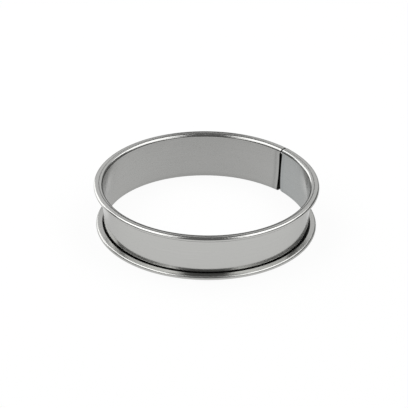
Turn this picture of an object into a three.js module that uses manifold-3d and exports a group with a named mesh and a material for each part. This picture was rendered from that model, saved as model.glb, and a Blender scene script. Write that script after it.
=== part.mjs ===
import * as THREE from 'three';
import { mergeVertices } from 'three/addons/utils/BufferGeometryUtils.js';
import Module from 'manifold-3d';

// Round tart ring of thin stainless strip, in millimetres, +Z up.
// The wall is open at top and bottom, and both of its edges are rolled outwards into hollow
// rims. The ends of the strip meet in a butt seam, backed outside by a spot-welded plate.
// The origin is on the ring's axis, level with the flat that the ring stands on.

// Driving dimensions of the ring
const UPPER_BORE = 80;
const BORE_TAPER = 1.6;
const HEIGHT = 18.7;
const SHEET = 0.5;

// Rolled rims: width from the bore to the outside, height, outside radius of the bend that
// leaves the wall, and the slot left open between the free edge and the wall
const ROLL_WIDTH = 3.5;
const ROLL_HEIGHT = 2;
const BEND_RADIUS = 1.6;
const ROLL_SLOT = 0.5;

// Butt seam: its place round the ring, and the gap between the strip's ends
const SEAM_AZIMUTH = THREE.MathUtils.degToRad(42.5);
const SEAM_GAP_UPPER = 0.7;
const SEAM_GAP_LOWER = 1;

// Backing plate, with the bare wall left between it and each rolled rim
const PLATE_WIDTH = 12;
const PLATE_THICKNESS = 0.5;
const PLATE_CORNER = 1.5;
const PLATE_MARGIN = 0.6;

// Spot welds: two columns, one on each end of the strip, and two rows
const WELD_DIAMETER = 2.6;
const WELD_COLUMN_SPACING = 6.4;
const WELD_ROW_SPACING = 6.6;
const WELD_DISH = 0.12;

// Clearances between pieces that are seated on each other
const PLATE_CLEARANCE = 0.2;
const WELD_CLEARANCE = 0.15;

// Facets
const RING_SEGMENTS = 72;
const BEND_STEPS = 4;
const ROUND_STEPS = 8;
const CORNER_STEPS = 4;
const WELD_SEGMENTS = 20;
const DISH_STEPS = 3;

// How far a cutting tool reaches past what it cuts
const CUT_OVERRUN = 1;

const LOWER_BORE = UPPER_BORE - BORE_TAPER;
const WALL_LEAN = Math.atan2(BORE_TAPER / 2, HEIGHT - 2 * BEND_RADIUS);
const OUTER_RADIUS = UPPER_BORE / 2 + ROLL_WIDTH;
const PLATE_BOTTOM = ROLL_HEIGHT + PLATE_MARGIN;
const PLATE_TOP = HEIGHT - ROLL_HEIGHT - PLATE_MARGIN;

const wasm = await Module();
wasm.setup();

const stripSteel = new THREE.MeshStandardMaterial({ color: 0xb4b5b0, roughness: 0.18, metalness: 1 });
const plateSteel = new THREE.MeshStandardMaterial({ color: 0xa9aaa6, roughness: 0.3, metalness: 1 });
const weldSteel = new THREE.MeshStandardMaterial({ color: 0x8f8b84, roughness: 0.42, metalness: 1 });

// Closed solid from a geometry whose shared vertices are merged
function toSolid(geometry) {
  const bare = geometry.clone();
  bare.deleteAttribute('normal');
  bare.deleteAttribute('uv');
  const merged = mergeVertices(bare);
  const vertProperties = new Float32Array(merged.attributes.position.array);
  const triVerts = new Uint32Array(merged.index.array);
  return new wasm.Manifold(new wasm.Mesh({ numProp: 3, vertProperties, triVerts }));
}

function toGeometry(solid) {
  const { vertProperties, triVerts } = solid.getMesh();
  const geometry = new THREE.BufferGeometry();
  geometry.setAttribute('position', new THREE.BufferAttribute(vertProperties, 3));
  geometry.setIndex(new THREE.BufferAttribute(triVerts, 1));
  geometry.computeVertexNormals();
  return geometry;
}

// Turns an outline of (radius, height) points about the ring's axis
function revolve(outline) {
  const geometry = new THREE.LatheGeometry([...outline, outline[0]], RING_SEGMENTS);
  return geometry.rotateX(Math.PI / 2);
}

function arc(centreX, centreY, radius, fromAngle, toAngle, steps) {
  const clockwise = toAngle < fromAngle;
  const curve = new THREE.EllipseCurve(centreX, centreY, radius, radius, fromAngle, toAngle, clockwise);
  return curve.getPoints(steps);
}

// Frame standing on the wall at an azimuth: x along the wall, y up, z radially outwards
function wallFrame(azimuth) {
  const along = new THREE.Vector3(-Math.sin(azimuth), Math.cos(azimuth), 0);
  const up = new THREE.Vector3(0, 0, 1);
  const outwards = new THREE.Vector3(Math.cos(azimuth), Math.sin(azimuth), 0);
  return new THREE.Matrix4().makeBasis(along, up, outwards);
}

// The wall tapers evenly from the upper bore to the lower one, between the two bends
function boreRadius(height) {
  const share = (height - BEND_RADIUS) / (HEIGHT - 2 * BEND_RADIUS);
  return THREE.MathUtils.lerp(LOWER_BORE, UPPER_BORE, share) / 2;
}

// Outline of a band that follows the wall, between two heights and two distances from the bore
function bandOutline(bottom, top, inside, outside) {
  return [
    new THREE.Vector2(boreRadius(bottom) + inside, bottom),
    new THREE.Vector2(boreRadius(bottom) + outside, bottom),
    new THREE.Vector2(boreRadius(top) + outside, top),
    new THREE.Vector2(boreRadius(top) + inside, top),
  ];
}

// Section of a rolled rim, one sheet thick: x is the distance from the bore and y the depth
// below the rim's flat. The sheet bends away from the wall, runs flat, turns back in a half
// round and ends short of the wall.
function rollSection() {
  const quarter = Math.PI / 2;
  const roundRadius = ROLL_HEIGHT / 2;
  const roundX = ROLL_WIDTH - roundRadius;
  const freeEdge = SHEET + ROLL_SLOT;
  const bend = (radius, from, to) => arc(BEND_RADIUS, BEND_RADIUS, radius, from, to, BEND_STEPS);
  const round = (radius, from, to) => arc(roundX, roundRadius, radius, from, to, ROUND_STEPS);
  return [
    ...bend(BEND_RADIUS, 2 * quarter, 3 * quarter),
    ...round(roundRadius, -quarter, quarter),
    new THREE.Vector2(freeEdge, ROLL_HEIGHT),
    new THREE.Vector2(freeEdge, ROLL_HEIGHT - SHEET),
    ...round(roundRadius - SHEET, quarter, -quarter),
    ...bend(BEND_RADIUS - SHEET, 3 * quarter, 2 * quarter),
  ];
}

// Tapered wedge of the seam gap, from the ring's axis to beyond the rims
function seamCutter() {
  const gapSlope = (SEAM_GAP_UPPER - SEAM_GAP_LOWER) / HEIGHT;
  const halfTop = (SEAM_GAP_UPPER + gapSlope * CUT_OVERRUN) / 2;
  const halfBottom = (SEAM_GAP_LOWER - gapSlope * CUT_OVERRUN) / 2;
  const outline = new THREE.Shape([
    new THREE.Vector2(-halfBottom, -CUT_OVERRUN),
    new THREE.Vector2(halfBottom, -CUT_OVERRUN),
    new THREE.Vector2(halfTop, HEIGHT + CUT_OVERRUN),
    new THREE.Vector2(-halfTop, HEIGHT + CUT_OVERRUN),
  ]);
  const depth = OUTER_RADIUS + CUT_OVERRUN;
  const wedge = new THREE.ExtrudeGeometry(outline, { depth, bevelEnabled: false });
  return toSolid(wedge.applyMatrix4(wallFrame(SEAM_AZIMUTH)));
}

// A ring of the strip, opened by the seam gap
function openRing(outline) {
  return toGeometry(toSolid(revolve(outline)).subtract(seamCutter()));
}

function wallBand() {
  return openRing(bandOutline(BEND_RADIUS, HEIGHT - BEND_RADIUS, 0, SHEET));
}

function upperRim() {
  const place = ({ x, y }) => new THREE.Vector2(UPPER_BORE / 2 + x, HEIGHT - y);
  return openRing(rollSection().map(place).reverse());
}

function lowerRim() {
  const place = ({ x, y }) => new THREE.Vector2(LOWER_BORE / 2 + x, y);
  return openRing(rollSection().map(place));
}

// Rounded rectangle of the backing plate, cut through everything outside the ring's axis
function plateCutter() {
  const x = PLATE_WIDTH / 2 - PLATE_CORNER;
  const bottom = PLATE_BOTTOM + PLATE_CORNER;
  const top = PLATE_TOP - PLATE_CORNER;
  const quarter = Math.PI / 2;
  const outline = new THREE.Shape([
    ...arc(x, bottom, PLATE_CORNER, -quarter, 0, CORNER_STEPS),
    ...arc(x, top, PLATE_CORNER, 0, quarter, CORNER_STEPS),
    ...arc(-x, top, PLATE_CORNER, quarter, 2 * quarter, CORNER_STEPS),
    ...arc(-x, bottom, PLATE_CORNER, 2 * quarter, 3 * quarter, CORNER_STEPS),
  ]);
  const block = new THREE.ExtrudeGeometry(outline, { depth: OUTER_RADIUS, bevelEnabled: false });
  return toSolid(block.applyMatrix4(wallFrame(SEAM_AZIMUTH)));
}

// Place of a spot weld on the wall's outside, square to the leaning wall: column and row
// are -1 or 1
function weldFrame(column, row) {
  const height = HEIGHT / 2 + row * WELD_ROW_SPACING / 2;
  const radius = boreRadius(height) + SHEET;
  const azimuth = SEAM_AZIMUTH + column * WELD_COLUMN_SPACING / 2 / radius;
  const lean = new THREE.Matrix4().makeRotationX(WALL_LEAN);
  return wallFrame(azimuth).multiply(lean.setPosition(0, height, radius));
}

function weldHole(column, row) {
  const radius = WELD_DIAMETER / 2 + WELD_CLEARANCE;
  const depth = 2 * (PLATE_CLEARANCE + PLATE_THICKNESS + CUT_OVERRUN);
  const drill = new THREE.CylinderGeometry(radius, radius, depth, WELD_SEGMENTS);
  return toSolid(drill.rotateX(Math.PI / 2).applyMatrix4(weldFrame(column, row)));
}

const WELDS = [
  { name: 'spot_weld_upper_left', column: -1, row: 1 },
  { name: 'spot_weld_upper_right', column: 1, row: 1 },
  { name: 'spot_weld_lower_left', column: -1, row: -1 },
  { name: 'spot_weld_lower_right', column: 1, row: -1 },
];

function seamPlate() {
  const bottom = PLATE_BOTTOM - CUT_OVERRUN;
  const top = PLATE_TOP + CUT_OVERRUN;
  const inside = SHEET + PLATE_CLEARANCE;
  const shell = toSolid(revolve(bandOutline(bottom, top, inside, inside + PLATE_THICKNESS)));
  let plate = shell.intersect(plateCutter());
  for (const { column, row } of WELDS) {
    plate = plate.subtract(weldHole(column, row));
  }
  return toGeometry(plate);
}

// Button of weld metal that fills its hole in the plate, dished by the electrode
function weldButton() {
  const radius = WELD_DIAMETER / 2;
  const face = PLATE_CLEARANCE + PLATE_THICKNESS;
  const dishRadius = (radius ** 2 + WELD_DISH ** 2) / (2 * WELD_DISH);
  const dishAngle = Math.asin(radius / dishRadius);
  const down = -Math.PI / 2;
  const dish = arc(0, face - WELD_DISH + dishRadius, dishRadius, down + dishAngle, down, DISH_STEPS);
  const outline = [
    new THREE.Vector2(0, WELD_CLEARANCE),
    new THREE.Vector2(radius, WELD_CLEARANCE),
    ...dish.slice(0, -1),
    new THREE.Vector2(0, face - WELD_DISH),
  ];
  return new THREE.LatheGeometry(outline, WELD_SEGMENTS).rotateX(Math.PI / 2);
}

function addPiece(group, name, geometry, material) {
  const mesh = new THREE.Mesh(geometry, material);
  mesh.name = name;
  group.add(mesh);
  return mesh;
}

const ring = new THREE.Group();
addPiece(ring, 'wall_band', wallBand(), stripSteel);
addPiece(ring, 'upper_rolled_rim', upperRim(), stripSteel);
addPiece(ring, 'lower_rolled_rim', lowerRim(), stripSteel);
addPiece(ring, 'seam_plate', seamPlate(), plateSteel);
for (const { name, column, row } of WELDS) {
  const weld = addPiece(ring, name, weldButton(), weldSteel);
  weld.applyMatrix4(weldFrame(column, row));
}

export default ring;
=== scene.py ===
import math
from typing import NamedTuple

import bmesh
import bpy
from mathutils import Matrix, Vector


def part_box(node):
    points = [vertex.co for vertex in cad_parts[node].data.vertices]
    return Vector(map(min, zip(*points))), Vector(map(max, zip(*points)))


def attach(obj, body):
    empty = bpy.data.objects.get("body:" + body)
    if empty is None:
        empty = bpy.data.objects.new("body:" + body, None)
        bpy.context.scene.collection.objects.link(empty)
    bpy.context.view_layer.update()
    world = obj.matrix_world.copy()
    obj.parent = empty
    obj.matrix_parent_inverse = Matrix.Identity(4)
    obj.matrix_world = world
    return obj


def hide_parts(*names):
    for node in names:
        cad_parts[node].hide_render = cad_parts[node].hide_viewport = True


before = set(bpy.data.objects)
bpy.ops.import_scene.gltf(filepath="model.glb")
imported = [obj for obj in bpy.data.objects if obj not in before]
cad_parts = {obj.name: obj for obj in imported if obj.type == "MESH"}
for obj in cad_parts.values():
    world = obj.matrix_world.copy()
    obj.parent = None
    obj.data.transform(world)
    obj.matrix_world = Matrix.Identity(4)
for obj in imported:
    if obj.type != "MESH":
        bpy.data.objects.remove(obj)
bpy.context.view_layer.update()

# A round tart ring of bright stainless strip, rolled outwards at both edges, with a backed butt seam.
# The ring's lengths are millimetres, and MM turns them into metres.
MM = 0.001


def node_box(node):
    """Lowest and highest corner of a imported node."""
    return [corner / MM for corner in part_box(node)]


wall_low, wall_high = node_box("wall_band")
_, upper_high = node_box("upper_rolled_rim")
_, lower_high = node_box("lower_rolled_rim")
plate_low, plate_high = node_box("seam_plate")

# Strip: its wall leans out between two bends of equal depth, and the radii are those of its inside
SHEET = 0.5
HEIGHT = upper_high.z
BEND_DEPTH = wall_low.z
WALL_HEIGHT = HEIGHT - 2 * BEND_DEPTH
UPPER_RADIUS = wall_high.x - SHEET
ROLL_WIDTH = upper_high.x - UPPER_RADIUS
LOWER_RADIUS = lower_high.x - ROLL_WIDTH
WALL_LEAN = math.atan2(UPPER_RADIUS - LOWER_RADIUS, WALL_HEIGHT)
STRIP_LENGTH = 2 * math.pi * UPPER_RADIUS

# Rolled rims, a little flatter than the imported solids: the slot between the free edge and the wall and
# how far it wavers, the angle by which the return flange lifts towards its free edge, half the angle by
# which the top is crowned, and the straight stretch between the wall and its bend
ROLL_FLATTENED = 0.2
ROLL_HEIGHT = lower_high.z - ROLL_FLATTENED
ROLL_SLOT = 0.6
SLOT_WAVER = 0.07
FLANGE_LIFT = math.radians(6)
CROWN = math.radians(11)
BEND_HOLD = 0.42

# Butt seam: the middle of its plate round the ring, and how far the gap between the strip's ends is off
# that middle. The gap narrows towards half height, and again at the upper rim, between these depths
# below the top.
SEAM = math.radians(42.5)
SEAM_SHIFT = 0.5
SEAM_GAP_UPPER = 1.65
SEAM_GAP_MIDDLE = 1.05
SEAM_GAP_LOWER = 2.3
SEAM_GAP_RIM = 0.55
RIM_DRAWN_FROM = 2.2
RIM_DRAWN_TO = 0.7

# Misfit of the strip's ends, and the length over which it fades: the upper edge of the first end steps
# down, the lower bend of the other end rises, and both ends are rolled flatter than the ring
END_STEP = 0.12
END_STEP_REACH = 5
END_RISE = 0.42
END_RISE_REACH = 9
END_FLATNESS = 0.25
END_FLAT_REACH = 7

# Unevenness of the slot, the round and the wall, as waves of (count round the ring, phase), and how far
# the round and the wall move
SLOT_WAVES = ((3, 0.4), (5, 2.1), (11, 4.0))
ROUND_WAVES = ((2, 0.9), (3, 3.6), (7, 1.7))
WALL_WAVES = ((4, 2.2), (9, 0.3), (14, 5.1))
OUT_OF_ROUND = 0.05
WALL_UNEVEN = 0.012

# Sheared edges are rounded over this depth, down to this share of the thickness. They are dull and
# painted near black as shade over most of the round at the strip's ends, and only on the sheared face
# along its edges.
EDGE_ROUND = 0.12
EDGE_SHARE = 0.6
END_CUT_REACH = 0.9 * EDGE_ROUND
EDGE_CUT_REACH = 0.03

# Painted shade on the wall's inside, 1 where it is whole: it fades out over the upper bend, is painted
# deeper on the lower one as contact shade, is thick inside the rolls as the hollow's shade, and is eased
# at the ring's two sides
SHADE_FADE = 1.8
CONTACT_SHADE_GATHERED = 0.5
SHADE_IN_ROLL = 1.8
SHADE_EASED_AT_SIDES = 0.4

# A painted reflection on the right, a patch where the painted shade is lifted: its middle and half
# width round the ring, its share, and the heights from which it starts and is whole, which the painted
# gleam at the wall's two sides shares
GLEAM_PATCH_MIDDLE = math.radians(9)
GLEAM_PATCH_REACH = math.radians(9)
GLEAM_PATCH_SHARE = 0.9
GLEAM_HEIGHTS = (8, 13)

# Faint dark lines beside the strip's two ends: distance from the end, width and depth
END_LINES = ((1.9, 0.7, 0.4), (1.2, 0.4, 0.2))

# Backing plate outside the seam, which laps towards the rims, so that no light shows at the ends of the
# gap. It is pressed in a little round the welds, and their heat fades over a short way.
PLATE_LAP = 0.5
PLATE_HALF_WIDTH = 6
PLATE_HALF_HEIGHT = (plate_high.z - plate_low.z) / 2 + PLATE_LAP
PLATE_THICKNESS = 0.5
PLATE_CORNER = 1.5
PLATE_CLEARANCE = 0.2
PRESSED_DEPTH = 0.06
PRESSED_REACH = 0.9
HEAT_REACH = 1.1

# Spot welds in the plate's holes, each dished inside a raised edge, with faint ripples in the dish.
# Outlines are points of (share of the radius, height): up the side from the foot, and over the edge
# from the plate's face.
WELD_RADIUS = 1.3
WELD_HOLE = 1.45
WELD_FROM_SEAM = 3.2
WELD_FROM_MIDDLE = 3.3
WELD_FOOT = 0.15
WELD_SIDE = ((0.0, 0.0), (0.5, 0.0), (0.94, 0.0), (1.0, 0.06))
WELD_DISH_EDGE = 0.84
WELD_EDGE = ((1.0, -0.1), (0.985, -0.03), (0.95, 0.0), (0.9, 0.01), (WELD_DISH_EDGE, -0.02))
WELD_DISH = 0.14
WELD_DISH_CURVE = 0.7
WELD_DISH_SHARES = (0.78, 0.7, 0.6, 0.5, 0.4, 0.3, 0.2, 0.1)
WELD_RIPPLE = 0.015
WELD_RIPPLE_TURN = 22
WELD_UNEVEN = 0.012

# Mesh fineness: steps of each stretch, rounds of the rim's fit, distances of the points near a sheared
# edge, the angle from which an edge is sharp, and the distance under which two points are one
RING_STEPS = 420
HOLD_STEPS = 2
BEND_STEPS = 14
CROWN_STEPS = 12
ROUND_STEPS = 32
FLANGE_STEPS = 6
EDGE_STEPS = 3
WALL_STEPS = 28
PLATE_STEPS = 9
CORNER_STEPS = 8
WELD_STEPS = 40
FIT_ROUNDS = 12
NEAR_STRIP_END = (0, 0.02, 0.06, EDGE_ROUND, 0.25, 0.45, 0.7, 1.0, 1.4, 1.9)
STRIP_END_ZONE = 2.2
NEAR_WELD_HOLE = (0, 0.03, 0.07, EDGE_ROUND, 0.25, 0.5, 0.8)
NEAR_OUTLINE = (0.5, 0.25, EDGE_ROUND, 0.07, 0.03, 0)
SHARP_ANGLE = math.radians(40)
SAME_POINT = 0.002


class Cell(NamedTuple):
    """One place of a sheet's grid: its points on both sides, and what the material reads there."""

    face: Vector
    back: Vector
    along: float
    across: float
    cut: float
    face_shade: float
    back_shade: float


def clamp(value):
    return min(1.0, max(0.0, value))


def ring_point(radius, angle, height):
    """Point round the ring's axis, in metres."""
    return Vector((radius * math.cos(angle), radius * math.sin(angle), height)) * MM


def waver(angle, waves):
    """Smooth uneven line round a circle, between -1 and 1."""
    return sum(math.sin(count * angle + phase) for count, phase in waves) / len(waves)


def bore_radius(height):
    share = (height - BEND_DEPTH) / WALL_HEIGHT
    return LOWER_RADIUS + share * (UPPER_RADIUS - LOWER_RADIUS)


def distance_from_end(share):
    """Length along the strip from its nearer end to a share of its length."""
    return min(share, 1 - share) * STRIP_LENGTH


def strip_angle(share):
    """Angle round the ring at a share of the strip's length, as if there were no gap."""
    return SEAM + share * 2 * math.pi


def strip_shares():
    """Places along the strip from end to end as shares of its length, closer together at its ends."""
    even = [STRIP_LENGTH * k / RING_STEPS for k in range(RING_STEPS)]
    inner = [place for place in even if STRIP_END_ZONE < place < STRIP_LENGTH - STRIP_END_ZONE]
    far_end = [STRIP_LENGTH - place for place in reversed(NEAR_STRIP_END)]
    return [place / STRIP_LENGTH for place in (*NEAR_STRIP_END, *inner, *far_end)]


def edge_share(distance):
    """Share of the sheet's thickness this near to a sheared edge."""
    if distance >= EDGE_ROUND:
        return 1.0
    away = 1 - max(0.0, distance) / EDGE_ROUND
    return EDGE_SHARE + (1 - EDGE_SHARE) * math.sqrt(1 - away * away)


def cut_share(from_end, from_edge=EDGE_ROUND):
    """1 where the metal is dull from shearing and painted near black as shade, and 0 elsewhere."""
    return 1.0 if from_end < END_CUT_REACH or from_edge < EDGE_CUT_REACH else 0.0


def seam_gap(height):
    """Width of the gap between the strip's ends."""
    bow = 2 * height / HEIGHT - 1
    end_gap = SEAM_GAP_UPPER if bow > 0 else SEAM_GAP_LOWER
    gap = SEAM_GAP_MIDDLE + bow * bow * (end_gap - SEAM_GAP_MIDDLE)
    drawn = clamp((RIM_DRAWN_FROM - HEIGHT + height) / (RIM_DRAWN_FROM - RIM_DRAWN_TO))
    return gap + drawn * (SEAM_GAP_RIM - gap)


def end_height(share, radius, height):
    """Height of a point of the strip, moved by the misfit of its ends."""
    bow = 2 * height / HEIGHT - 1
    from_end = distance_from_end(share)
    if share < 0.5 and bow > 0:
        return height - END_STEP * math.exp(-from_end / END_STEP_REACH) * bow
    if share > 0.5 and bow < 0:
        off_bore = radius - bore_radius(max(height, BEND_DEPTH))
        near_wall = clamp((SHEET + ROLL_SLOT - off_bore) / ROLL_SLOT)
        return height - END_RISE * near_wall * math.exp(-from_end / END_RISE_REACH) * bow
    return height


def on_strip(share, radius, height):
    """Point of the strip, in metres, at a share of its length, with the ring's small unevenness."""
    half_gap = math.asin(seam_gap(height) / 2 / radius)
    angle = SEAM + SEAM_SHIFT / UPPER_RADIUS + half_gap + share * (2 * math.pi - 2 * half_gap)
    into_flat = max(0.0, END_FLAT_REACH - distance_from_end(share))
    radius += END_FLATNESS * into_flat * into_flat / 2 / UPPER_RADIUS
    radius -= OUT_OF_ROUND * (1 + waver(angle, ROUND_WAVES)) / 2
    radius -= WALL_UNEVEN * (1 + waver(angle, WALL_WAVES)) / 2 * math.sin(math.pi * height / HEIGHT)
    return ring_point(radius, angle, end_height(share, radius, height))


def roll_fit(lean):
    """Radii of the bend and of the half round, and half the crown's width, that fill the rim's size.

    The three depend on each other, and settle in a few rounds.
    """
    crown_half = 0
    for _ in range(FIT_ROUNDS):
        rise = crown_half * math.tan(CROWN / 2)
        bend_height = BEND_DEPTH - BEND_HOLD * math.cos(lean) - rise - SHEET / 2
        bend = bend_height / (math.cos(CROWN) - math.sin(lean))
        turn = (ROLL_HEIGHT - SHEET - rise) / (1 + math.cos(CROWN))
        bend_width = BEND_HOLD * math.sin(lean) + bend * (math.cos(lean) - math.sin(CROWN))
        turn_width = turn * (1 - math.sin(CROWN))
        crown_half = (ROLL_WIDTH - SHEET - bend_width - turn_width) / 2
    return bend, turn, crown_half


def roll_midline(lean, slot):
    """Middle of the sheet through a rolled rim: (x, y, heading, length so far, distance to the edge).

    x is the distance from the bore and y the depth below the rim's top. The heading turns from the
    wall's own direction over the bend, the crown and the half round to the return flange, which
    ends in the free edge.
    """
    bend, turn, crown_half = roll_fit(lean)
    x, y, heading, length = SHEET / 2, BEND_DEPTH, lean - math.pi / 2, 0.0
    line = [(x, y, heading, length)]

    def straight(distance, steps):
        nonlocal x, y, length
        for _ in range(steps):
            x += distance / steps * math.cos(heading)
            y += distance / steps * math.sin(heading)
            length += distance / steps
            line.append((x, y, heading, length))

    def arc(radius, to_heading, steps):
        nonlocal x, y, heading, length
        step = (to_heading - heading) / steps
        for _ in range(steps):
            x += radius * (math.sin(heading + step) - math.sin(heading))
            y += radius * (math.cos(heading) - math.cos(heading + step))
            heading += step
            length += abs(radius * step)
            line.append((x, y, heading, length))

    straight(BEND_HOLD, HOLD_STEPS)
    arc(bend, -CROWN, BEND_STEPS)
    arc(crown_half / math.sin(CROWN), CROWN, CROWN_STEPS)
    arc(turn, math.pi - FLANGE_LIFT, ROUND_STEPS)
    flange_width = x - SHEET - slot - EDGE_ROUND
    straight(flange_width / math.cos(FLANGE_LIFT), FLANGE_STEPS)
    straight(EDGE_ROUND, EDGE_STEPS)
    return [(*place, length - place[-1]) for place in line]


def wall_shade(share, height):
    """Painted shade on the wall's inside at a share of the strip's length."""
    angle = strip_angle(share)
    # Painted shade, less of it at the ring's left and right sides
    shade = 1 - SHADE_EASED_AT_SIDES * math.cos(angle) ** 2
    # Lifts the painted shade in a patch on the right, as a painted reflection
    from_gleam_patch = math.remainder(angle - GLEAM_PATCH_MIDDLE, 2 * math.pi) / GLEAM_PATCH_REACH
    start, whole = GLEAM_HEIGHTS
    raised = clamp((height - start) / (whole - start))
    shade *= 1 - GLEAM_PATCH_SHARE * raised * math.exp(-from_gleam_patch * from_gleam_patch)
    place, width, depth = END_LINES[0 if share < 0.5 else 1]
    from_line = (distance_from_end(share) - place) / width
    return shade + depth * math.exp(-from_line * from_line)


def rim_shades(share, length, upwards):
    """Painted shade on the outside and the inside of a rolled rim, this far along its section from the
    wall.
    """
    away = min(1.0, length / SHADE_FADE)
    if upwards > 0:
        outside = wall_shade(share, HEIGHT) * (1 - away)
    elif away < 1:
        # Deeper painted shade on the lower bend, as contact shade where the ring meets the floor
        outside = wall_shade(share, 0.0) * (1 + CONTACT_SHADE_GATHERED * away)
    else:
        outside = 0.0
    # Inside the roll the painted shade stands in for the hollow's darkness
    return outside, SHADE_IN_ROLL * away


def new_mesh(name, vertices, faces):
    mesh = bpy.data.meshes.new(name)
    mesh.from_pydata(vertices, [], faces)
    return mesh


def add_values(mesh, name, values):
    """Stores one number for each vertex."""
    mesh.attributes.new(name, "FLOAT", "POINT").data.foreach_set("value", values)


def add_places(mesh, places):
    """Stores each vertex's place on its strip or plate: along, across, and the painted shade or side
    there.
    """
    flat = [value for place in places for value in place]
    mesh.attributes.new("strip", "FLOAT_VECTOR", "POINT").data.foreach_set("vector", flat)


def add_piece(name, mesh, material, node):
    """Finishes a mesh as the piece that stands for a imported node."""
    mesh.validate()
    for polygon in mesh.polygons:
        polygon.use_smooth = True
    mesh.set_sharp_from_angle(angle=SHARP_ANGLE)
    mesh.materials.append(material)
    piece = bpy.data.objects.new(name, mesh)
    bpy.context.scene.collection.objects.link(piece)
    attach(piece, "root")
    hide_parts(node)


def sheet_faces(row_count, column_count):
    """Faces of a closed sheet: each grid place has a vertex on the face and the next one on the back."""
    last_row, last_column = row_count - 1, column_count - 1

    def corner(i, j, side):
        return (i * column_count + j) * 2 + side

    faces = []
    for i in range(last_row):
        for j in range(last_column):
            for side in (0, 1):
                places = ((i, j), (i + 1, j), (i + 1, j + 1), (i, j + 1))
                quad = [corner(*place, side) for place in places]
                faces.append(quad if side else quad[::-1])
        for j in (0, last_column):
            quad = [corner(i, j, 0), corner(i + 1, j, 0), corner(i + 1, j, 1), corner(i, j, 1)]
            faces.append(quad[::-1] if j else quad)
    for i in (0, last_row):
        for j in range(last_column):
            quad = [corner(i, j, 0), corner(i, j, 1), corner(i, j + 1, 1), corner(i, j + 1, 0)]
            faces.append(quad[::-1] if i else quad)
    return faces


def sheet_piece(name, rows, material, node):
    """Closed piece of the strip from rows of cells."""
    cells = [cell for row in rows for cell in row]
    vertices = [point for cell in cells for point in (cell.face, cell.back)]
    mesh = new_mesh(name, vertices, sheet_faces(len(rows), len(rows[0])))
    places = []
    for cell in cells:
        places += [(cell.along, cell.across, shade) for shade in (cell.face_shade, cell.back_shade)]
    add_places(mesh, places)
    add_values(mesh, "cut", [cell.cut for cell in cells for _ in range(2)])
    add_piece(name, mesh, material, node)


def rolled_rim(name, material, node, bore, top):
    """A rim rolled outwards: bore is the wall's inside radius there, and top the height of its crown."""
    upwards = 1 if top > HEIGHT / 2 else -1
    rows = []
    for share in strip_shares():
        slot = ROLL_SLOT + SLOT_WAVER * waver(strip_angle(share), SLOT_WAVES)
        from_end = distance_from_end(share)
        row = []
        for x, y, heading, length, from_edge in roll_midline(WALL_LEAN * upwards, slot):
            half = SHEET / 2 * edge_share(from_end) * edge_share(from_edge)
            points = []
            for side in (half, -half):
                radius = bore + x + side * math.sin(heading)
                height = top - upwards * (y - side * math.cos(heading))
                points.append(on_strip(share, radius, height))
            shades = rim_shades(share, length, upwards)
            if upwards < 0:
                points.reverse()
                shades = shades[::-1]
            cut = cut_share(from_end, from_edge)
            row.append(Cell(*points, share * STRIP_LENGTH, length, cut, *shades))
        rows.append(row)
    sheet_piece(name, rows, material, node)


def strip_wall(name, material, node):
    """The upright wall between the two rims."""
    rows = []
    for share in strip_shares():
        from_end = distance_from_end(share)
        half = SHEET / 2 * edge_share(from_end)
        cut = cut_share(from_end)
        row = []
        for k in range(WALL_STEPS + 1):
            height = BEND_DEPTH + WALL_HEIGHT * k / WALL_STEPS
            middle = bore_radius(height) + SHEET / 2
            points = [on_strip(share, middle + side, height) for side in (-half, half)]
            row.append(Cell(*points, share * STRIP_LENGTH, -height, cut, wall_shade(share, height), 0.0))
        rows.append(row)
    sheet_piece(name, rows, material, node)


def on_wall(across, up, off_wall):
    """Point over the wall's outside, in metres: across and up from the middle of the seam."""
    height = HEIGHT / 2 + up
    wall_radius = bore_radius(height) + SHEET
    return ring_point(wall_radius + off_wall, SEAM + across / wall_radius, height)


def corner_outline():
    """Outline of one quarter of the plate, from its middle, as points of (across, up, sheared).

    The last says whether the edge to the next point is sheared. The others cross the plate.
    """
    wide, high, corner = PLATE_HALF_WIDTH, PLATE_HALF_HEIGHT, PLATE_CORNER
    shares = [k / PLATE_STEPS for k in range(PLATE_STEPS)]
    outline = [(wide * share, 0.0, False) for share in shares]
    outline += [(wide, (high - corner) * share, True) for share in shares]
    for k in range(CORNER_STEPS):
        turn = math.pi / 2 * k / CORNER_STEPS
        across = wide - corner * (1 - math.cos(turn))
        up = high - corner * (1 - math.sin(turn))
        outline.append((across, up, True))
    outline += [((wide - corner) * (1 - share), high, True) for share in shares]
    outline += [(0.0, high * (1 - share), False) for share in shares]
    return outline


def outline_inset(across, up):
    """Distance from a point of the plate to its rounded outline."""
    beyond_x = abs(across) - PLATE_HALF_WIDTH + PLATE_CORNER
    beyond_y = abs(up) - PLATE_HALF_HEIGHT + PLATE_CORNER
    if beyond_x > 0 and beyond_y > 0:
        return PLATE_CORNER - math.hypot(beyond_x, beyond_y)
    return PLATE_CORNER - max(beyond_x, beyond_y)


def plate_ray(across, up, sides):
    """Points of the plate from a weld hole to the outline: (across, up, distance from the hole)."""
    away = Vector((across - WELD_FROM_SEAM, up - WELD_FROM_MIDDLE))
    reach = away.length - WELD_HOLE
    ray = []
    for from_hole in (*NEAR_WELD_HOLE, *(reach - step for step in NEAR_OUTLINE)):
        spot = away.normalized() * (WELD_HOLE + from_hole)
        from_seam = sides[0] * (WELD_FROM_SEAM + spot.x)
        from_middle = sides[1] * (WELD_FROM_MIDDLE + spot.y)
        ray.append((from_seam, from_middle, from_hole))
    return ray


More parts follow.
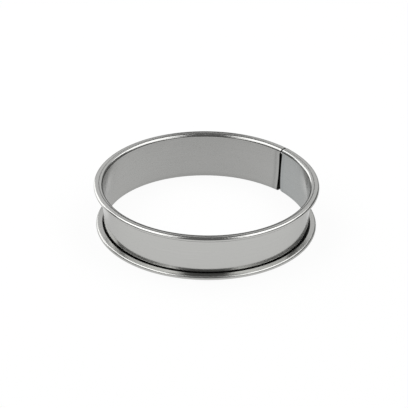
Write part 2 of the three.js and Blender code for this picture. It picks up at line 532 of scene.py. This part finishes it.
def plate_faces(rays, sheared, first, mirrored):
    """Faces of one quarter of the plate: outside, inside, the hole's wall and the sheared outline."""
    count, last = len(rays), len(rays[0]) - 1

    def corner(i, k, side):
        return first + ((i % count) * (last + 1) + k) * 2 + side

    faces = []
    for i in range(count):
        for k in range(last):
            outer = [corner(i, k, 0), corner(i, k + 1, 0), corner(i + 1, k + 1, 0), corner(i + 1, k, 0)]
            inner = [index + 1 for index in reversed(outer)]
            faces += [outer, inner]
        faces.append([corner(i, 0, 0), corner(i + 1, 0, 0), corner(i + 1, 0, 1), corner(i, 0, 1)])
        if sheared[i]:
            places = ((i, 0), (i, 1), (i + 1, 1), (i + 1, 0))
            faces.append([corner(ray, last, side) for ray, side in places])
    return [face[::-1] for face in faces] if mirrored else faces


def backing_plate(name, material, node):
    """Plate with rounded corners and four weld holes, pressed in a little round the welds."""
    outline = corner_outline()
    sheared = [edge for _, _, edge in outline]
    middle = PLATE_CLEARANCE + PLATE_THICKNESS / 2
    vertices, faces, places, heat = [], [], [], []
    for sides in ((1, 1), (-1, 1), (1, -1), (-1, -1)):
        rays = [plate_ray(across, up, sides) for across, up, _ in outline]
        faces += plate_faces(rays, sheared, len(vertices), sides[0] != sides[1])
        for across, up, from_hole in (point for ray in rays for point in ray):
            half = PLATE_THICKNESS * edge_share(min(outline_inset(across, up), from_hole)) / 2
            pressed = PRESSED_DEPTH * max(0.0, 1 - from_hole / PRESSED_REACH) ** 2
            vertices += [on_wall(across, up, off) for off in (middle + half - pressed, middle - half)]
            places += [(across, up, 0.0), (across, up, 1.0)]
            heat += [math.exp(-from_hole / HEAT_REACH)] * 2
    mesh = new_mesh(name, vertices, faces)
    add_places(mesh, places)
    add_values(mesh, "heat", heat)
    join_vertices(mesh)
    add_piece(name, mesh, material, node)


def join_vertices(mesh):
    """Makes one vertex of points that meet, and turns the faces outwards."""
    work = bmesh.new()
    work.from_mesh(mesh)
    bmesh.ops.remove_doubles(work, verts=work.verts, dist=SAME_POINT * MM)
    bmesh.ops.recalc_face_normals(work, faces=work.faces)
    work.to_mesh(mesh)
    work.free()


def weld_profile():
    """Button of weld metal from its foot to its dish: points of (share of the radius, height)."""
    face = PLATE_CLEARANCE + PLATE_THICKNESS
    profile = [(share, WELD_FOOT + rise) for share, rise in WELD_SIDE]
    profile += [(share, face + rise) for share, rise in WELD_EDGE]
    for share in WELD_DISH_SHARES:
        sunk = WELD_DISH * (1 - (share / WELD_DISH_EDGE) ** 2) ** WELD_DISH_CURVE
        ripple = WELD_RIPPLE * math.cos(WELD_RIPPLE_TURN * share) * share
        profile.append((share, face - sunk + ripple))
    profile.append((0.0, face - WELD_DISH))
    return profile


def weld_button(name, material, node, column, row):
    """Spot weld square to the wall, a little out of round, with the electrode's dish in its face."""
    centre = on_wall(column * WELD_FROM_SEAM, row * WELD_FROM_MIDDLE, 0.0)
    angle = math.atan2(centre.y, centre.x)
    along = Vector((-math.sin(angle), math.cos(angle), 0))
    level = Vector((math.cos(angle), math.sin(angle), 0))
    outwards = level * math.cos(WALL_LEAN) - Vector((0, 0, math.sin(WALL_LEAN)))
    upwards = outwards.cross(along)
    profile = weld_profile()
    waves = ((2, column), (3, 2 * row), (5, column - row))
    vertices, faces = [], []
    for k in range(WELD_STEPS):
        turn = 2 * math.pi * k / WELD_STEPS
        radius = WELD_RADIUS * (1 - WELD_UNEVEN * (1 + waver(turn, waves)))
        spoke = (along * math.cos(turn) + upwards * math.sin(turn)) * radius
        vertices += [centre + (spoke * share + outwards * off) * MM for share, off in profile]
    for k in range(WELD_STEPS):
        near, far = k * len(profile), (k + 1) % WELD_STEPS * len(profile)
        faces += [[near + i, far + i, far + i + 1, near + i + 1] for i in range(len(profile) - 1)]
    mesh = new_mesh(name, vertices, faces)
    add_values(mesh, "share", [share for _ in range(WELD_STEPS) for share, _ in profile])
    join_vertices(mesh)
    add_piece(name, mesh, material, node)


class Noise(NamedTuple):
    """Grain of a noise: waves per unit of each coordinate, octaves, and the share of the finer ones."""

    waves: tuple
    octaves: float
    finer: float


# Most of a noise lies between these values
NOISE_SPREAD = (0.3, 0.7)


def new_material(name):
    material = bpy.data.materials.new(name)
    material.use_nodes = True
    tree = material.node_tree
    tree.nodes.clear()
    output = tree.nodes.new("ShaderNodeOutputMaterial")
    return material, tree, output


def feed(tree, socket, value):
    """Sets a socket to a value, or joins it to another node's output."""
    if isinstance(value, bpy.types.NodeSocket):
        tree.links.new(value, socket)
    else:
        socket.default_value = value


def add_node(tree, kind, settings=None, **inputs):
    """A shader node with its settings and inputs. An input's name has _ for each space."""
    node = tree.nodes.new(kind)
    for key, value in (settings or {}).items():
        setattr(node, key, value)
    for key, value in inputs.items():
        feed(tree, node.inputs[key.replace("_", " ")], value)
    return node


def calculate(tree, operation, first, second):
    node = add_node(tree, "ShaderNodeMath", {"operation": operation})
    for socket, value in zip(node.inputs, (first, second)):
        feed(tree, socket, value)
    return node.outputs["Value"]


def add(tree, first, second):
    return calculate(tree, "ADD", first, second)


def multiply(tree, first, second):
    return calculate(tree, "MULTIPLY", first, second)


def mixed(tree, factor, first, second):
    """Colour that goes from the first to the second as the factor goes from 0 to 1."""
    node = add_node(tree, "ShaderNodeMix", {"data_type": "RGBA"})
    for name, kind, value in (("Factor", "VALUE", factor), ("A", "RGBA", first), ("B", "RGBA", second)):
        socket = next(s for s in node.inputs if s.name == name and s.type == kind)
        feed(tree, socket, value)
    return next(s for s in node.outputs if s.type == "RGBA")


def map_range(tree, value, old, new):
    node = add_node(tree, "ShaderNodeMapRange", Value=value, From_Min=old[0], From_Max=old[1])
    for key, limit in zip(("To Min", "To Max"), new):
        node.inputs[key].default_value = limit
    return node.outputs["Result"]


def spread(tree, noise, low, high):
    """Noise spread over a range."""
    return map_range(tree, noise, NOISE_SPREAD, (low, high))


def between(tree, value, low, high):
    """Rises from 0 to 1 as the value goes from low to high."""
    return map_range(tree, value, (low, high), (0.0, 1.0))


def noise_of(tree, vector, noise):
    mapping = add_node(tree, "ShaderNodeMapping", Vector=vector, Scale=noise.waves)
    texture = add_node(
        tree,
        "ShaderNodeTexNoise",
        Vector=mapping.outputs["Vector"],
        Scale=1.0,
        Detail=noise.octaves,
        Roughness=noise.finer,
    )
    return texture.outputs["Fac"]


def stored(tree, name, output):
    """What a mesh stores under a name."""
    return add_node(tree, "ShaderNodeAttribute", {"attribute_name": name}).outputs[output]


def object_place(tree):
    return add_node(tree, "ShaderNodeTexCoord").outputs["Object"]


def split(tree, vector):
    return add_node(tree, "ShaderNodeSeparateXYZ", Vector=vector).outputs


def bumps(tree, height, strength, depth):
    """Normal over a surface with bumps this deep."""
    node = add_node(tree, "ShaderNodeBump", Height=height, Strength=strength, Distance=depth * MM)
    return node.outputs["Normal"]


# Share of the light that the worn metal still gives back at a glancing angle
GRAZING_TINT = (0.75, 0.75, 0.75, 1.0)


def join_metal(tree, output, colour, roughness, normal, grazing=GRAZING_TINT):
    shader = add_node(
        tree,
        "ShaderNodeBsdfPrincipled",
        Base_Color=colour,
        Metallic=1.0,
        Specular_Tint=grazing,
        Roughness=roughness,
        Normal=normal,
    )
    tree.links.new(shader.outputs["BSDF"], output.inputs["Surface"])


# Steel of the strip, cold-rolled: its grain runs along the strip
STRIP_LIGHT = (0.5, 0.5, 0.487, 1.0)
STRIP_DARK = (0.46, 0.46, 0.448, 1.0)
STRIP_GRAIN = Noise((0.03, 7.0, 1.0), 5.0, 0.65)
STRIP_LINES = Noise((0.12, 26.0, 1.0), 3.0, 0.6)
STRIP_ROUGHNESS = (0.07, 0.16)
STRIP_BUMP_STRENGTH = 0.2
STRIP_BUMP_DEPTH = 0.0006
HANDLING_MARKS = Noise((70.0, 70.0, 110.0), 4.0, 0.55)
HANDLING_ROUGHNESS = 0.05

# Painted shade: the share of the colour that it takes where it is whole, and the length from the
# strip's far end over which the painted shade turns blue
PAINTED_SHADE_GREY = (0.1, 0.1, 0.1, 1.0)
PAINTED_SHADE_BLUE = (0.06, 0.105, 0.13, 1.0)
PAINTED_SHADE_DEPTH = 0.355
SHADE_ROUGHNESS = 0.1
BLUE_SHADE_REACH = 32

# Thin scratches along the strip, where their noise is highest: they take this share of the colour
SCRATCHES = Noise((0.3, 9.0, 1.0), 1.0, 0.5)
SCRATCH_FROM = 0.67
SCRATCH_TO = 0.71
SCRATCH_GREY = (0.2, 0.2, 0.195, 1.0)
SCRATCH_DEPTH = 0.12
SCRATCH_ROUGHNESS = 0.12

# Sheared edges are dull, and painted near black: partly the dull cut metal, partly painted shade of the
# gaps
CUT_SHADE_GREY = (0.04, 0.038, 0.035, 1.0)
CUT_ROUGHNESS = 0.3

# The lower rim is scuffed by the trays that it stands on, fully below the second height
SCUFF_HEIGHTS = (2.6, 1.6)
SCUFF_ROUGHNESS = 0.1

# Painted gleam: this far to the left and right of the axis the wall gives back more light at a glancing
# angle, on the right only inside, where there is at least a trace of painted shade
GLEAM_FROM = 36.3
GLEAM_TO = 38
SHADE_TRACE = 0.04
GLEAM_GRAZING_TINT = (1.0, 1.0, 1.0, 1.0)


def strip_colour(tree, strip, scratched, cut):
    """Light and dark grain under the painted shade, the scratches, and the sheared edges painted near
    black.
    """
    along, _, shade = split(tree, strip)
    # The painted shade turns blue towards the strip's far end
    blue_share = between(tree, along, STRIP_LENGTH - BLUE_SHADE_REACH, STRIP_LENGTH - BLUE_SHADE_REACH / 2)
    shade_colour = mixed(tree, blue_share, PAINTED_SHADE_GREY, PAINTED_SHADE_BLUE)
    grain = spread(tree, noise_of(tree, strip, STRIP_GRAIN), 0.0, 1.0)
    colour = mixed(tree, grain, STRIP_DARK, STRIP_LIGHT)
    # Painted shade darkens the colour, standing in for the shaded floor that the wall mirrors
    colour = mixed(tree, multiply(tree, shade, PAINTED_SHADE_DEPTH), colour, shade_colour)
    colour = mixed(tree, multiply(tree, scratched, SCRATCH_DEPTH), colour, SCRATCH_GREY)
    # Sheared edges painted near black, partly dull cut metal and partly painted shade
    return mixed(tree, cut, colour, CUT_SHADE_GREY)


def side_gleam(tree, place, shade):
    """1 on the upper part of the wall at the ring's two sides, where a gleam is painted, and 0
    elsewhere.
    """
    right, _, height = split(tree, place)
    inside = between(tree, shade, 0.0, SHADE_TRACE)
    gleam_left = between(tree, right, -GLEAM_FROM * MM, -GLEAM_TO * MM)
    gleam_right = multiply(tree, between(tree, right, GLEAM_FROM * MM, GLEAM_TO * MM), inside)
    start, whole = GLEAM_HEIGHTS
    raised = between(tree, height, start * MM, whole * MM)
    return multiply(tree, add(tree, gleam_left, gleam_right), raised)


def strip_steel_material(name):
    """Stainless strip: fine lines along it, handling marks, scratches, painted shade, dull edges painted
    dark.
    """
    material, tree, output = new_material(name)
    strip = stored(tree, "strip", "Vector")
    shade = split(tree, strip)["Z"]
    cut = stored(tree, "cut", "Fac")
    place = object_place(tree)
    height = split(tree, place)["Z"]
    lines = noise_of(tree, strip, STRIP_LINES)
    marks = noise_of(tree, place, HANDLING_MARKS)
    scratched = between(tree, noise_of(tree, strip, SCRATCHES), SCRATCH_FROM, SCRATCH_TO)
    scuffed = between(tree, height, SCUFF_HEIGHTS[0] * MM, SCUFF_HEIGHTS[1] * MM)
    handled = spread(tree, marks, 0.0, HANDLING_ROUGHNESS)
    roughness = add(tree, spread(tree, lines, *STRIP_ROUGHNESS), handled)
    wear = (
        (cut, CUT_ROUGHNESS),
        (shade, SHADE_ROUGHNESS),
        (scuffed, SCUFF_ROUGHNESS),
        (scratched, SCRATCH_ROUGHNESS),
    )
    for share, rise in wear:
        roughness = add(tree, roughness, multiply(tree, share, rise))
    colour = strip_colour(tree, strip, scratched, cut)
    normal = bumps(tree, lines, STRIP_BUMP_STRENGTH, STRIP_BUMP_DEPTH)
    # Stronger glancing reflection painted at the ring's two sides
    grazing = mixed(tree, side_gleam(tree, place, shade), GRAZING_TINT, GLEAM_GRAZING_TINT)
    join_metal(tree, output, colour, roughness, normal, grazing)
    return material


# Duller steel of the backing plate: grain across it, straw and then blue towards the welds, as shares
# of their heat, and near black on its inside, partly scale and partly painted shade behind the seam's
# gap
PLATE_LIGHT = (0.52, 0.52, 0.51, 1.0)
PLATE_DARK = (0.4, 0.4, 0.39, 1.0)
PLATE_STRAW = (0.47, 0.37, 0.23, 1.0)
PLATE_STRAW_HEAT = (0.25, 0.6)
PLATE_BLUE = (0.24, 0.2, 0.24, 1.0)
PLATE_BLUE_HEAT = (0.62, 0.85)
PLATE_SCALE_AND_SHADE = (0.02, 0.019, 0.018, 1.0)
PLATE_GRAIN = Noise((0.5, 14.0, 1.0), 4.0, 0.6)
PLATE_CLOUDS = Noise((0.5, 0.5, 1.0), 3.0, 0.5)
PLATE_CLOUD_HEAT = 0.12
PLATE_ROUGHNESS = (0.24, 0.34)
PLATE_HEAT_ROUGHNESS = 0.12
PLATE_BUMP_STRENGTH = 0.3
PLATE_BUMP_DEPTH = 0.002


def plate_steel_material(name):
    material, tree, output = new_material(name)
    strip = stored(tree, "strip", "Vector")
    heat = stored(tree, "heat", "Fac")
    inside = split(tree, strip)["Z"]
    grain = noise_of(tree, strip, PLATE_GRAIN)
    clouds = spread(tree, noise_of(tree, strip, PLATE_CLOUDS), -PLATE_CLOUD_HEAT, PLATE_CLOUD_HEAT)
    cloudy_heat = add(tree, heat, clouds)
    colour = mixed(tree, spread(tree, grain, 0.0, 1.0), PLATE_DARK, PLATE_LIGHT)
    colour = mixed(tree, between(tree, cloudy_heat, *PLATE_STRAW_HEAT), colour, PLATE_STRAW)
    colour = mixed(tree, between(tree, cloudy_heat, *PLATE_BLUE_HEAT), colour, PLATE_BLUE)
    # The plate's inside is painted near black, partly scale and partly painted shade seen through the
    # gap
    colour = mixed(tree, inside, colour, PLATE_SCALE_AND_SHADE)
    burnt = multiply(tree, heat, PLATE_HEAT_ROUGHNESS)
    roughness = add(tree, spread(tree, grain, *PLATE_ROUGHNESS), burnt)
    normal = bumps(tree, grain, PLATE_BUMP_STRENGTH, PLATE_BUMP_DEPTH)
    join_metal(tree, output, colour, roughness, normal)
    return material


# Weld metal, pitted all over: a grey dish, brown and then blue towards its edge, as shares of the radius
WELD_LIGHT = (0.38, 0.375, 0.36, 1.0)
WELD_DARK = (0.26, 0.255, 0.25, 1.0)
WELD_BROWN = (0.3, 0.22, 0.14, 1.0)
WELD_BROWN_SHARE = (0.45, 0.75)
WELD_BLUE = (0.16, 0.15, 0.2, 1.0)
WELD_BLUE_SHARE = (0.8, 1.0)
WELD_PITS = Noise((2600.0, 2600.0, 2600.0), 4.0, 0.65)
WELD_CLOUDS = Noise((700.0, 700.0, 700.0), 3.0, 0.5)
WELD_CLOUD_SHARE = 0.14
WELD_ROUGHNESS = (0.34, 0.52)
WELD_BUMP_STRENGTH = 0.5
WELD_BUMP_DEPTH = 0.012


def weld_steel_material(name):
    material, tree, output = new_material(name)
    share = stored(tree, "share", "Fac")
    place = object_place(tree)
    pits = noise_of(tree, place, WELD_PITS)
    clouds = spread(tree, noise_of(tree, place, WELD_CLOUDS), -WELD_CLOUD_SHARE, WELD_CLOUD_SHARE)
    cloudy_share = add(tree, share, clouds)
    colour = mixed(tree, spread(tree, pits, 0.0, 1.0), WELD_DARK, WELD_LIGHT)
    colour = mixed(tree, between(tree, cloudy_share, *WELD_BROWN_SHARE), colour, WELD_BROWN)
    colour = mixed(tree, between(tree, cloudy_share, *WELD_BLUE_SHARE), colour, WELD_BLUE)
    roughness = spread(tree, pits, *WELD_ROUGHNESS)
    normal = bumps(tree, pits, WELD_BUMP_STRENGTH, WELD_BUMP_DEPTH)
    join_metal(tree, output, colour, roughness, normal)
    return material


# Floor. The places and sizes of floor and lights are metres.
FLOOR_RADIUS = 20.0
FLOOR_STEPS = 96
FLOOR_DROP = 0.00002
FLOOR_PALE = (0.86, 0.86, 0.85, 1.0)
FLOOR_WHITE = (1.0, 1.0, 1.0, 1.0)
FLOOR_WHITE_SHARE = 0.92

# Two planes of lights lean over the ring like a roof. Each light has its extent from front to back, its
# extent from the ridge outwards, and its radiance.
ROOF_RIDGE = 0.857
ROOF_LEAN = math.radians(40)
ROOF_LIGHTS = {
    "panel": ((-0.2, 0.55), (0.15, 0.48), 1.8),
    "front_card": ((-0.8, -0.15), (0.36, 0.58), 1.8),
    "side_card": ((-0.15, 0.15), (0.48, 0.6), 1.5),
}

# Cards behind the ring that face its middle, one on each side and a low one on the left, and the grey
# of the world around
LIT_MIDDLE = (0.0, 0.0, 0.01)
BACK_CARD_PLACE = (0.33, 1.2, 0.65)
BACK_CARD_SIZE = (0.6, 0.7)
BACK_CARD_RADIANCE = 0.55
LOW_CARD_PLACE = (-0.79, 0.76, 0.33)
LOW_CARD_SIZE = (0.75, 0.7)
LOW_CARD_RADIANCE = 1.55
WORLD_GREY = (0.18, 0.18, 0.18, 1.0)

# Camera: a long lens about a metre from the ring, rolled a little, which turns the picture clockwise.
# The image is square, and the focal length and the shift are counted in its pixels.
CAMERA_DISTANCE = 0.95
CAMERA_ELEVATION = math.radians(29.17)
CAMERA_ROLL = math.radians(0.64)
CAMERA_TARGET_HEIGHT = 9.5
IMAGE_PIXELS = 408
FOCAL_PIXELS = 2455
SHIFT_PIXELS = (-2.35, -0.76)
SENSOR_WIDTH = 36


def floor_material():
    """Pale sweep: mostly white to the camera and in the metal, with the ring's own shadow left on it."""
    material, tree, output = new_material("pale_floor")
    rays = add_node(tree, "ShaderNodeLightPath").outputs
    mirrored = add(tree, rays["Is Glossy Ray"], rays["Is Transmission Ray"])
    share = multiply(tree, add(tree, rays["Is Camera Ray"], mirrored), FLOOR_WHITE_SHARE)
    lit = add_node(tree, "ShaderNodeBsdfDiffuse", Color=FLOOR_PALE)
    white = add_node(tree, "ShaderNodeEmission", Color=FLOOR_WHITE, Strength=1.0)
    mix = add_node(tree, "ShaderNodeMixShader")
    for socket, value in zip(mix.inputs, (share, lit.outputs["BSDF"], white.outputs["Emission"])):
        feed(tree, socket, value)
    tree.links.new(mix.outputs["Shader"], output.inputs["Surface"])
    return material


def make_floor():
    edge = []
    for k in range(FLOOR_STEPS):
        turn = 2 * math.pi * k / FLOOR_STEPS
        edge.append((FLOOR_RADIUS * math.cos(turn), FLOOR_RADIUS * math.sin(turn), -FLOOR_DROP))
    mesh = new_mesh("floor", edge, [list(range(FLOOR_STEPS))])
    mesh.materials.append(floor_material())
    floor = bpy.data.objects.new("floor", mesh)
    bpy.context.scene.collection.objects.link(floor)


def softbox(name, place, target, size, radiance):
    """Rectangular soft light. A lamp's watts are four times its radiance times its area."""
    lamp = bpy.data.lights.new(name, "AREA")
    lamp.shape = "RECTANGLE"
    lamp.size, lamp.size_y = size
    lamp.energy = 4 * radiance * size[0] * size[1]
    light = bpy.data.objects.new(name, lamp)
    light.location = place
    light.rotation_euler = (Vector(target) - Vector(place)).to_track_quat("-Z", "Y").to_euler()
    light.visible_camera = False
    bpy.context.scene.collection.objects.link(light)


def roof_light(name, side, fore_aft, inner_outer, radiance):
    """Soft light in one of the two leaning planes, left (-1) or right (1)."""
    across = sum(inner_outer) / 2
    place = Vector((side * across, sum(fore_aft) / 2, ROOF_RIDGE - across * math.tan(ROOF_LEAN)))
    facing = Vector((-side * math.sin(ROOF_LEAN), 0, -math.cos(ROOF_LEAN)))
    size = (fore_aft[1] - fore_aft[0], (inner_outer[1] - inner_outer[0]) / math.cos(ROOF_LEAN))
    softbox(name, place, place + facing, size, radiance)


def make_lights():
    """Two long panels over the ring with a dark slit between them, and cards round about."""
    for hand, side in (("left", -1), ("right", 1)):
        for kind, (fore_aft, inner_outer, radiance) in ROOF_LIGHTS.items():
            roof_light(f"{hand}_{kind}", side, fore_aft, inner_outer, radiance)
        right, back, up = BACK_CARD_PLACE
        place = (right * side, back, up)
        softbox(f"{hand}_back_card", place, LIT_MIDDLE, BACK_CARD_SIZE, BACK_CARD_RADIANCE)
    softbox("low_left_card", LOW_CARD_PLACE, LIT_MIDDLE, LOW_CARD_SIZE, LOW_CARD_RADIANCE)
    world = bpy.data.worlds.new("studio")
    world.use_nodes = True
    world.node_tree.nodes["Background"].inputs["Color"].default_value = WORLD_GREY
    bpy.context.scene.world = world


def make_camera():
    """Camera at the photograph's angle."""
    backwards = Vector((0, -math.cos(CAMERA_ELEVATION), math.sin(CAMERA_ELEVATION)))
    place = Vector((0, 0, CAMERA_TARGET_HEIGHT * MM)) + backwards * CAMERA_DISTANCE
    lens = bpy.data.cameras.new("camera")
    lens.sensor_width = SENSOR_WIDTH
    lens.lens = SENSOR_WIDTH * FOCAL_PIXELS / IMAGE_PIXELS
    lens.shift_x, lens.shift_y = (pixels / IMAGE_PIXELS for pixels in SHIFT_PIXELS)
    camera = bpy.data.objects.new("camera", lens)
    aim = (-backwards).to_track_quat("-Z", "Y").to_matrix() @ Matrix.Rotation(CAMERA_ROLL, 3, "Z")
    camera.matrix_world = Matrix.Translation(place) @ aim.to_4x4()
    bpy.context.scene.collection.objects.link(camera)
    bpy.context.scene.camera = camera


make_camera()
strip_steel = strip_steel_material("strip_steel")
strip_wall("strip_wall", strip_steel, "wall_band")
rolled_rim("upper_roll", strip_steel, "upper_rolled_rim", UPPER_RADIUS, HEIGHT)
rolled_rim("lower_roll", strip_steel, "lower_rolled_rim", LOWER_RADIUS, 0.0)
backing_plate("backing_plate", plate_steel_material("plate_steel"), "seam_plate")
weld_steel = weld_steel_material("weld_steel")
for row, level in ((1, "upper"), (-1, "lower")):
    for column, hand in ((-1, "left"), (1, "right")):
        weld_button(f"weld_{level}_{hand}", weld_steel, f"spot_weld_{level}_{hand}", column, row)
make_floor()
make_lights()
bpy.context.scene.view_settings.view_transform = "Standard"
